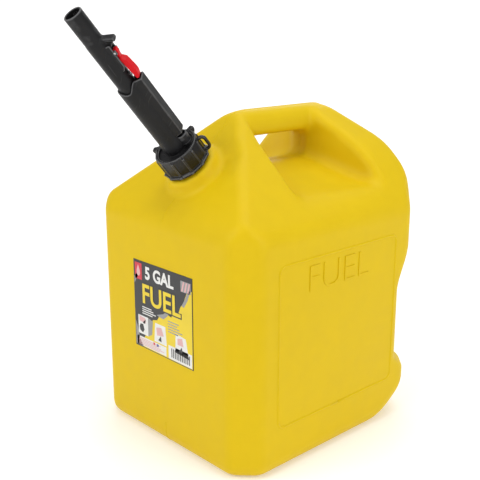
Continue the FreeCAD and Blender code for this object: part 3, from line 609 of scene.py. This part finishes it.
PANEL_LOW, PANEL_HIGH, PANEL_CORNER = (-96, 52), (93, 229), 9
WORD_SIZE, WORD_MIDDLE, WORD_RISE = (96, 28), (-4, 207), 1.5
ring = frame_path(PANEL_LOW, PANEL_HIGH, PANEL_CORNER, 9)
finer = np.concatenate([np.linspace(a, b, 6)[:-1] for a, b in zip(ring[:-1], ring[1:])] + [ring[-1:]])
for side in (-1, 1):
    along = finer if side > 0 else finer[::-1]
    path = np.column_stack([np.full(len(along), side * HALF_W), along])
    outwards = np.tile((float(side), 0.0, 0.0), (len(path), 1))
    panel_points, panel_faces = bead(path, outwards, 4.2, 1.3, 0.3)
    piece("panel_frame_%s" % ("left" if side < 0 else "right"), panel_points, panel_faces, yellow,
          "tank")
    word_points, word_faces = lettering("FUEL", *WORD_SIZE, WORD_RISE, -0.02)
    turned = np.column_stack([side * (HALF_W - 0.6 + word_points[:, 2]),
                              side * word_points[:, 0] + WORD_MIDDLE[0],
                              word_points[:, 1] + WORD_MIDDLE[1]])
    word = word_piece("raised_word_%s" % ("left" if side < 0 else "right"), turned, word_faces,
                      yellow)
    soften = word.modifiers.new("soften", "BEVEL")
    soften.width = 0.0004
    soften.segments = 2


# ---------------------------------------------------------------- neck thread
# The collar screws onto one coarse thread moulded on the outside of the neck; it fades in and
# out over a quarter turn.

THREAD_PITCH = 5.0
SLEEVE_RADIUS = 19.9
neck_across = np.array([1.0, 0.0, 0.0])
neck_back = np.cross(neck_axis, neck_across)


def on_neck(points):
    """Millimetres about the neck's axis (across, back, up) to the can's own place."""
    return (neck_rim + points[:, :1] * neck_across + points[:, 1:2] * neck_back
            + points[:, 2:3] * neck_axis)


def round_surface(radius, up, flip=False):
    """Points at radius x (cos t, sin t) and their quads, over a grid of radii and heights with
    rows going up and columns going round, the last column joining the first."""
    rows, cols = radius.shape
    turn = np.linspace(0, 2 * math.pi, cols, endpoint=False)
    points = np.stack([radius * np.cos(turn), radius * np.sin(turn), up], -1).reshape(-1, 3)
    row = np.arange(rows - 1)[:, None] * cols
    col = np.arange(cols)
    nxt = (col + 1) % cols
    quads = np.stack([row + col, row + nxt, row + nxt + cols, row + col + cols], -1).reshape(-1, 4)
    return points, quads[:, ::-1] if flip else quads


def thread_height(turn, up):
    """The thread's rise: a rounded ridge that climbs 5 mm a turn and fades at both ends."""
    start = -15.5 + THREAD_PITCH * turn / (2 * math.pi)
    rise = np.zeros_like(up)
    for lap in range(3):
        middle_of = start + THREAD_PITCH * lap
        fade = ease(middle_of, -14.6, -13.6) * (1 - ease(middle_of, -4.2, -3.2))
        rise = np.maximum(rise, fade * 1.3 * np.clip(1.4 - np.abs(up - middle_of) / 1.1, 0, 1))
    return rise


levels = np.linspace(-17.5, -1.2, 70)
turn = np.linspace(0, 2 * math.pi, 96, endpoint=False)
spread, heights = np.meshgrid(turn, levels)
outside = SLEEVE_RADIUS + thread_height(spread, heights)
hidden = np.full((1, len(turn)), 18.5)  # the sleeve's ends and inside lie within the neck
radius = np.vstack([hidden, outside, hidden])
up = np.vstack([np.full((1, len(turn)), -18.5), heights, np.full((1, len(turn)), -0.6)])
radius, up = np.vstack([radius, radius[:1]]), np.vstack([up, up[:1]])
thread_points, thread_faces = round_surface(radius, up)
piece("neck_thread", on_neck(thread_points), thread_faces, yellow, "tank")


# ---------------------------------------------------------------- front label
# A square of gloss vinyl stuck to the front wall: a black ground torn away to yellow at the
# lower right, with plain generic printing.

def paper(name, colour, rough):
    """Printed vinyl: one flat ink, dulled a little by fine rubbing."""
    return plastic(name, tuple(c * 0.9 for c in colour), colour,
                   tuple(min(1.0, c * 1.1 + 0.02) for c in colour), rough, 1400.0, 0.03,
                   (5.0, 9.0, 0.1, 0.1, 0.15))


black_ink = paper("black_ink", (0.022, 0.022, 0.024), 0.35)
white_ink = paper("white_ink", (0.78, 0.78, 0.76), 0.35)
yellow_ink = paper("yellow_ink", (0.8, 0.6, 0.01), 0.35)
red_ink = paper("red_ink", (0.62, 0.03, 0.05), 0.35)
grey_ink = paper("grey_ink", (0.3, 0.3, 0.3), 0.4)
pink_ink = paper("pink_ink", (0.72, 0.42, 0.42), 0.4)
blue_ink = paper("blue_ink", (0.07, 0.1, 0.34), 0.4)

label_low, label_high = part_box("front_label")
LABEL_FACE = label_low.y * MM
LABEL_LEFT, LABEL_FOOT = label_low.x * MM, label_low.z * MM


def prints(name, outlines, ink, layer):
    """Flat shapes on the label, each an outline in millimetres from its lower left corner,
    pressed 0.05 mm proud of the layer beneath and joined into one piece."""
    points, faces = [], []
    for outline in outlines:
        base, count = len(points), len(outline)
        for depth in (LABEL_FACE + 0.03, LABEL_FACE - 0.05 * layer):
            points += [(LABEL_LEFT + a, depth, LABEL_FOOT + b) for a, b in outline]
        around = list(range(count))
        faces.append([base + count + i for i in around])
        faces.append([base + i for i in reversed(around)])
        faces += [[base + i, base + (i + 1) % count, base + count + (i + 1) % count,
                   base + count + i] for i in around]
    return word_piece(name, np.array(points), faces, ink)


def label_word(name, text, ink, layer, middle_at, size_of, thicken):
    """A word printed on the label about a middle point."""
    points, faces = lettering(text, size_of[0], size_of[1], 0.05 * layer, thicken)
    placed = np.column_stack([LABEL_LEFT + middle_at[0] + points[:, 0], LABEL_FACE - points[:, 2],
                              LABEL_FOOT + middle_at[1] + points[:, 1]])
    return word_piece(name, placed, faces, ink)


def box_outline(a0, b0, a1, b1):
    """A rectangle between two opposite corners."""
    return [(a0, b0), (a1, b0), (a1, b1), (a0, b1)]


def bars(a0, b0, a1, b1, rows, cover, wander):
    """Rows of short bars that stand for small print, their lengths from a sine of the row."""
    found = []
    pitch = (b1 - b0) / rows
    for row in range(rows):
        length = (a1 - a0) * (1 - wander * abs(math.sin(2.3 * row + 1)))
        low = b0 + row * pitch
        found.append(box_outline(a0, low, a0 + length, low + pitch * cover))
    return found


LABEL_SIDE = 102
ground_points = np.array([(0, 0), (LABEL_SIDE, 0), (LABEL_SIDE, LABEL_SIDE), (0, LABEL_SIDE)], float)
prints("label_ground", [box_outline(0.3, 0.3, LABEL_SIDE - 0.3, LABEL_SIDE - 0.3)], black_ink, 1)
torn = [(14, 1), (14.5, 9), (18, 15), (24, 19), (30, 31), (33, 38), (41, 40), (45, 46), (52, 44),
        (58, 52), (66, 50), (71, 58), (78, 57), (82, 66), (87, 72), (93, 84), (101, 88), (101, 1)]
prints("label_torn_field", [torn], yellow_ink, 2)
prints("label_torn_edge", [[(84, 68), (90, 77), (95, 87), (99, 88), (94, 76), (88, 67)],
                           [(40, 46), (52, 50), (63, 58), (60, 50), (52, 44), (45, 45)],
                           [(1, 2), (1, 30), (5, 22), (8, 9), (13, 3), (13, 1)],
                           [(1, 74), (1, 82), (7, 88), (8, 84)]], grey_ink, 3)
prints("label_badge", [box_outline(2.5, 80, 15, 99)], red_ink, 3)
prints("label_badge_mark", [[(8.7, 97), (11.6, 90.5), (11.9, 87), (10.4, 84.4), (8.7, 83.7),
                             (7, 84.4), (5.5, 87), (5.8, 90.5)]], pink_ink, 4)
label_word("label_size", "5 GAL", white_ink, 4, (46, 90), (50, 15), 0.035)
prints("label_chip", [box_outline(83, 84, 99.5, 96)], grey_ink, 3)
prints("label_chip_slants", [[(84 + step, 84.6), (86.4 + step, 84.6), (89.4 + step, 95.4),
                              (87 + step, 95.4)] for step in (0, 4.8, 9.6)], pink_ink, 4)
label_word("label_word_edge", "FUEL", black_ink, 4, (49, 65), (70, 26), 0.055)
label_word("label_word", "FUEL", yellow_ink, 5, (49, 65), (67, 23), 0.02)
prints("label_small_print", bars(14, 41, 40, 51, 4, 0.45, 0.35), white_ink, 3)
prints("label_side_print", bars(60, 32, 86, 47, 5, 0.4, 0.4), grey_ink, 3)
prints("label_pictures", [box_outline(6, 16, 24, 38), [(35, 14), (37, 36), (55, 36), (57, 14)],
                          [(72, 12), (73, 34), (90, 32), (95, 10)]], white_ink, 3)
prints("label_picture_marks", [[(9, 20), (14, 18), (17, 22), (15, 28), (10, 28), (8, 24)],
                               [(14, 30), (20, 35), (18, 29)], [(42, 17), (48, 16), (47, 23)],
                               [(78, 14), (85, 13), (83, 21)]], black_ink, 4)
prints("label_picture_hands", [[(40, 22), (52, 24), (48, 33), (39, 31)],
                               [(76, 22), (86, 22), (84, 31), (76, 29)],
                               [(8, 31), (20, 30), (19, 36), (8, 37)]], pink_ink, 4)
prints("label_picture_shade", [[(24, 16), (31, 20), (33, 36), (24, 38)]], grey_ink, 4)
prints("label_notice", [box_outline(3, 2, 56, 12.5)], white_ink, 3)
prints("label_notice_print", bars(6, 3, 54, 11.5, 5, 0.5, 0.25), pink_ink, 4)
prints("label_notice_dots", [box_outline(33, 9.2, 36, 11.8)], red_ink, 5)
prints("label_notice_dot_two", [box_outline(39, 8.8, 42.5, 11.6)], blue_ink, 5)
prints("label_panel", [box_outline(60, 1.5, 100, 17)], white_ink, 3)
prints("label_panel_bars", [box_outline(65 + 3 * step, 4, 66.5 + 3 * step, 14.5)
                            for step in range(11)], black_ink, 4)

label_points = np.array([(x, y, z) for y in (LABEL_FACE, label_high.y * MM)
                         for x, z in ground_points + (LABEL_LEFT, LABEL_FOOT)])
label_faces = [[0, 1, 2, 3], [7, 6, 5, 4], [0, 4, 5, 1], [1, 5, 6, 2], [2, 6, 7, 3], [3, 7, 4, 0]]
label = word_piece("label_sheet", label_points, label_faces, black_ink)
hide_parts("front_label")


# ---------------------------------------------------------------- collar
# The screw collar is injection moulded in glossier black polypropylene: an open ring with
# twelve grip ribs, two lugs to turn it by and a springy loop that locks it to the can.

# The pale edge colour that the edge mask lays along the collar's ribs, rim and loop is partly scuffing
# and partly a painted highlight.
black_gloss = plastic("black_gloss_plastic", (0.005, 0.005, 0.0055), (0.009, 0.009, 0.01),
                      (0.16, 0.16, 0.16), 0.2, 800.0, 0.1, (0.45, 1.3, 0.5, 0.5, 0.12), 0.34)
COLLAR_TOP, COLLAR_FOOT = 8.3, -16.7
COLLAR_RADIUS, COLLAR_BORE, COLLAR_MOUTH = 24.7, 22.4, 20.9
LEDGE_UNDERSIDE = 5.3
LUG_ANGLES = (87, 199)
LOOP_ANGLE, LOOP_OUT, LOOP_UP = 40, 28.3, COLLAR_TOP - 11


def lump(distances, soft):
    """The soft maximum of several distances: a solid bounded by all of them."""
    whole = distances[0]
    for distance in distances[1:]:
        whole = soft_max(whole, distance, soft)
    return whole


def collar_field(x, y, z):
    """Distance to the collar: a ribbed ring with a flanged foot and an inward ledge, two lugs
    and an upright oval loop."""
    radius = np.hypot(x, y)
    turn = np.arctan2(y, x)
    wave = np.cos(12 * turn)
    rib = 1.05 * np.clip((wave - 0.72) / 0.28, 0, 1) ** 0.7
    fade = ease(z, COLLAR_FOOT, COLLAR_FOOT + 2) * (1 - ease(z, COLLAR_TOP - 4, COLLAR_TOP - 2))
    foot = 2.2 * (1 - ease(z, COLLAR_FOOT + 2.4, COLLAR_FOOT + 4.2)) + 0.25 * np.cos(12 * turn)
    notch = 0.9 * np.clip(wave - 0.8, 0, 1) * 5 * ease(z, COLLAR_TOP - 3, COLLAR_TOP - 1)
    wall = radius - (COLLAR_RADIUS + rib * fade + foot - 0.35 * notch)
    ring = lump([wall, z - COLLAR_TOP, COLLAR_FOOT - z], 1.6)
    ring = soft_max(ring, COLLAR_MOUTH - radius, 1.2)
    dish = np.maximum(radius - 23.2, COLLAR_TOP - 0.9 - z)
    ring = soft_max(ring, -dish, 0.8)
    hollow = np.maximum(radius - COLLAR_BORE, z - LEDGE_UNDERSIDE)
    ring = soft_max(ring, -hollow, 0.4)
    for angle in LUG_ANGLES:
        a = math.radians(angle)
        out, aside = x * math.cos(a) + y * math.sin(a), y * math.cos(a) - x * math.sin(a)
        lug = lump([out - 29.3, 22.8 - out, np.abs(aside) - 3, z - 9.2, 0.4 - z,
                    (out - z - 24.5) / 1.42], 1.6)
        ring = soft_min(ring, lug, 1.2)
    a = math.radians(LOOP_ANGLE)
    out, aside = x * math.cos(a) + y * math.sin(a), y * math.cos(a) - x * math.sin(a)
    high = np.clip(z - LOOP_UP, -3.8, 3.8)
    oval = np.abs(np.hypot(out - LOOP_OUT, z - LOOP_UP - high) - 4.3)
    loop = soft_max(oval - 1.6, np.abs(aside) - 1.9, 1.4)
    loop = np.maximum(loop, 22.6 - radius)
    return soft_min(ring, loop, 1.0)


skin_points, skin_faces = skin(collar_field, (-30.5, -30.5, -17.5), (35, 30.5, 10), 0.62)
piece("collar_ring", on_neck(skin_points), skin_faces, black_gloss, "collar",
      ("collar",), ridges(collar_field, skin_points, 0.7))


# ---------------------------------------------------------------- spout housing
# The fixed half of the spout, moulded in satin black polyethylene: a plain barrel with a box
# channel along one side for the lock lever, and a small vent boss at its foot.

# The pale edge colour that the edge mask lays along the convex edges of the housing and nozzle is partly
# scuffing and partly a painted highlight.
black_satin = plastic("black_satin_plastic", (0.006, 0.006, 0.0065), (0.012, 0.012, 0.013),
                      (0.17, 0.17, 0.175), 0.42, 650.0, 0.26, (0.3, 1.0, 0.6, 0.6, 0.1), 0.22)
lever_axis = np.array(joints["lock_press"]["axis"])
across_spout = np.cross(lever_axis, neck_axis)
HOUSING_RADIUS, HOUSING_BORE, THROAT = 12.2, 10.1, 8.6
HOUSING_END = 99
CHANNEL_OUT, CHANNEL_HALF, CHANNEL_WALL = 19.5, 6.5, 1.6
VENT_OUT, VENT_RADIUS, VENT_TOP = 13.9, 6.5, 19.9
FLANGE_RADIUS, FLANGE_LOW, FLANGE_HIGH = 22, 2, 5
LEDGE = 22  # height up to which the bore is only as wide as the throat


def on_spout(points):
    """Millimetres about the spout's axis (towards the lever, aside, up) to the can's place."""
    return (neck_rim + points[:, :1] * across_spout + points[:, 1:2] * lever_axis
            + points[:, 2:3] * neck_axis)


def housing_field(x, y, z):
    """Distance to the housing: barrel, flange, channel and vent boss, bored through, with the
    mouth cut away in a shallow curve that leaves the channel tallest."""
    radius = np.hypot(x, y)
    swell = 0.5 * (1 - ease(z, 9, 24))
    barrel = lump([radius - HOUSING_RADIUS - swell * ease(z, 7, 9), -6 - z], 1)
    channel = lump([np.abs(y) - CHANNEL_HALF, x - CHANNEL_OUT, 9 - x], 1.3)
    channel = soft_max(channel, (21.8 + 0.25 * (x - HOUSING_RADIUS) - z) / 1.03, 1.4)
    body = soft_min(barrel, channel, 1.0)
    body = soft_max(body, z - HOUSING_END, 0.8)
    mouth = 91 + 8 * ease(x, 1.5, 10.5) + 4 * ease(-x, 0, 13)
    body = soft_max(body, (z - mouth) / 1.25, 0.8)
    boss = lump([np.hypot(x - VENT_OUT, y) - VENT_RADIUS, 8.9 - z, z - VENT_TOP], 1.2)
    body = soft_min(body, boss, 1.0)
    flange = lump([radius - FLANGE_RADIUS, FLANGE_LOW - z, z - FLANGE_HIGH], 0.8)
    body = np.minimum(body, flange)
    bore = np.maximum(radius - HOUSING_BORE, LEDGE - z)
    throat = radius - THROAT
    body = soft_max(body, -np.minimum(bore, throat), 0.5)
    inner = lump([np.abs(y) - (CHANNEL_HALF - CHANNEL_WALL), x - (CHANNEL_OUT - CHANNEL_WALL), 7.5 - x,
                  36 - z], 0.8)
    inner = np.maximum(inner, np.where(z < 83.5, 12.4 - x, -10))
    body = soft_max(body, -inner, 0.5)
    recess = lump([np.hypot(x - VENT_OUT, y) - (VENT_RADIUS - 1.3), VENT_TOP - 5 - z], 0.6)
    recess = np.maximum(recess, 8.7 - radius)
    return soft_max(body, -np.maximum(recess, z - LEDGE), 0.5)


skin_points, skin_faces = skin(housing_field, (-22.5, -22.5, -6.5), (22.5, 22.5, 100), 0.72)
piece("housing_barrel", on_spout(skin_points), skin_faces, black_satin, "spout",
      ("spout_housing",), ridges(housing_field, skin_points, 0.8))


# ---------------------------------------------------------------- nozzle
# The sliding half: a thin straight tube in the same satin black, with a slanting hook that
# catches on a filler's rim, and two low cheeks that shelter the lock lever.

NOZZLE_RADIUS, NOZZLE_BORE, TIP_STEP = 9.8, 8.0, 0.3
NOZZLE_FOOT, NOZZLE_TIP = 60, 184
PIN_OUT, PIN_UP, PIN_RADIUS = 12, 133, 1.2
LOCK_SPRING_UP = 106
GROOVE_UP = 64


def nozzle_field(x, y, z):
    """Distance to the nozzle: an open tube, the slanting hook on its web, the pin's ears, the
    lever's cheeks and the lock spring's boss."""
    radius = np.hypot(x, y)
    wide = NOZZLE_RADIUS - TIP_STEP * ease(z, 148, 152)
    tube = lump([radius - wide, z - NOZZLE_TIP, NOZZLE_FOOT - z], 1.0)
    slant = ((x - 8.8) * 3.7 + (z - 151.4) * 10) / 10.66
    plate = lump([slant, -slant - 3.8, np.abs(y) - 4.5, x - 20.2, 8 - x], 1.5)
    web = lump([np.abs(y) - 3.2, 139.5 - z, 8.4 - x, slant + 1.0, (x - z + 126.4) / 1.41], 1.0)
    body = soft_min(tube, soft_min(plate, web, 1.0), 1.4)
    ears = lump([np.abs(np.abs(y) - 4.25) - 0.9, x - 14.2, 8 - x, np.abs(z - PIN_UP) - 2.6], 0.7)
    rise = 10.4 + 2.2 * ease(z, 113, 118)
    cheeks = lump([np.abs(np.abs(y) - 5.5) - 0.75, x - rise, 7 - x, 113.0 - z, z - 143], 0.8)
    body = soft_min(body, np.minimum(ears, cheeks), 0.6)
    stand = lump([np.hypot(y, z - LOCK_SPRING_UP) - 2.5, x - 10.1, 8 - x], 0.3)
    body = np.minimum(body, stand)
    pin = np.maximum(np.hypot(x - PIN_OUT, z - PIN_UP) - PIN_RADIUS, np.abs(y) - 7)
    body = np.maximum(body, -pin)
    groove = np.maximum(np.abs(z - GROOVE_UP) - 0.7, 8.75 - radius)
    body = np.maximum(body, -groove)
    return soft_max(body, NOZZLE_BORE - radius, 0.5)


skin_points, skin_faces = skin(nozzle_field, (-10.5, -10.5, 59), (19.5, 10.5, 185), 0.6)
piece("nozzle_barrel", on_spout(skin_points), skin_faces, black_satin, "nozzle",
      ("nozzle_tube",), ridges(nozzle_field, skin_points, 0.8))


# ---------------------------------------------------------------- lock lever
# A red polypropylene lever on a steel pin: a thick thumb pad with three low grip bars and a
# thinner arm that runs up to the pin.

red = plastic("red_plastic", (0.58, 0.003, 0.008), (0.68, 0.005, 0.012), (0.72, 0.03, 0.04), 0.42,
              900.0, 0.08, (0.6, 1.8, 0.4, 0.3, 0.1), 0.14)


def lever_field(x, y, z):
    """Distance to the lever: a pad and an arm, each bounded by straight lines of its side view
    and flat cheeks, bored for the pin and hollowed for the lock spring."""
    bars_on = 0.35 * np.clip(np.cos((z - 108) * 2 * math.pi / 2.6), 0, 1) * ease(z, 105.5, 107) * (
        1 - ease(z, 115, 116.5))
    pad = lump([np.abs(y) - 4.5, x - 19.2 - bars_on, 99.7 - z,
                -ramp(x, z, (17.6, 99.7), (19.5, 106)), -ramp(x, z, (19.7, 105), (17.2, 122)),
                ramp(x, z, (13.6, 125.2), (17.3, 121.9)), ramp(x, z, (14.9, 99.7), (12.2, 122)),
                z - 125.5], 0.7)
    underside = 10.95 + 0.12 * np.clip(131 - z, 0, None)
    outside = 13.9 + 1.2 * ease(z, 125.5, 133)
    arm = lump([np.abs(y) - 3, x - outside, underside - x, 120 - z, z - 136], 0.9)
    body = soft_min(pad, arm, 1.2)
    hole = np.hypot(x - PIN_OUT, z - PIN_UP) - (PIN_RADIUS + 0.05)
    body = np.maximum(body, -hole)
    pocket = np.maximum(np.hypot(y, z - LOCK_SPRING_UP) - 2.9, x - 15.4)
    return np.maximum(body, -pocket)


skin_points, skin_faces = skin(lever_field, (10, -5, 99), (20, 5, 137), 0.34)
piece("lever", on_spout(skin_points), skin_faces, red, "lock", ("lock_lever",),
      ridges(lever_field, skin_points, 0.4))


# ---------------------------------------------------------------- small parts
# The pieces inside the spout keep their exact shapes: moulded stems and plugs, rubber rings
# and gaskets, drawn-wire springs and pressed-sheet steel.

def metal(name, dark, light, rough, grain):
    """Bare steel: two greys mottled together, with a drawn grain in the roughness."""
    paint = plastic(name, dark, light, (0.75, 0.75, 0.76), rough, grain, 0.1, (5.0, 9.0, 0.1, 0.1, 0.3))
    paint.node_tree.nodes["Principled BSDF"].inputs["Metallic"].default_value = 1.0
    return paint


rubber = plastic("black_rubber", (0.012, 0.012, 0.012), (0.03, 0.03, 0.03), (0.1, 0.1, 0.1), 0.72,
                 1200.0, 0.2, (5.0, 9.0, 0.1, 0.1, 0.1), 0.35)
wire_steel = metal("spring_wire_steel", (0.42, 0.42, 0.43), (0.62, 0.62, 0.62), 0.28, 2500.0)
sheet_steel = metal("pressed_sheet_steel", (0.46, 0.46, 0.46), (0.66, 0.65, 0.63), 0.36, 1500.0)


def squashed_copy(node, name, paint, body):
    """A spring's own mesh, copied and welded."""
    work = bmesh.new()
    work.from_mesh(frame["nodes"][node].data)
    bmesh.ops.remove_doubles(work, verts=work.verts, dist=1e-6)
    mesh = bpy.data.meshes.new(name)
    work.to_mesh(mesh)
    work.free()
    mesh.materials.clear()
    mesh.materials.append(paint)
    made = bpy.data.objects.new(name, mesh)
    bpy.context.scene.collection.objects.link(made)
    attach(made, body)
    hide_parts(node)
    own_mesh(made)
    return made


squashed_copy("return_spring", "return_coil", wire_steel, "spout")
squashed_copy("lock_spring", "lock_coil", wire_steel, "nozzle")
for node, paint in (
        ("neck_gasket", rubber), ("wiper_ring", rubber), ("nozzle_oring", rubber),
        ("valve_seal", rubber), ("vent_plug", black_gloss), ("valve_disc", black_gloss),
        ("vent_tube", black_satin), ("stem_spider", black_satin), ("valve_stem", wire_steel),
        ("stem_clip", wire_steel), ("lock_pin", wire_steel), ("flame_arrester", sheet_steel),
        ("spring_washer", sheet_steel)):
    mesh = frame["nodes"][node].data
    mesh.materials.clear()
    mesh.materials.append(paint)
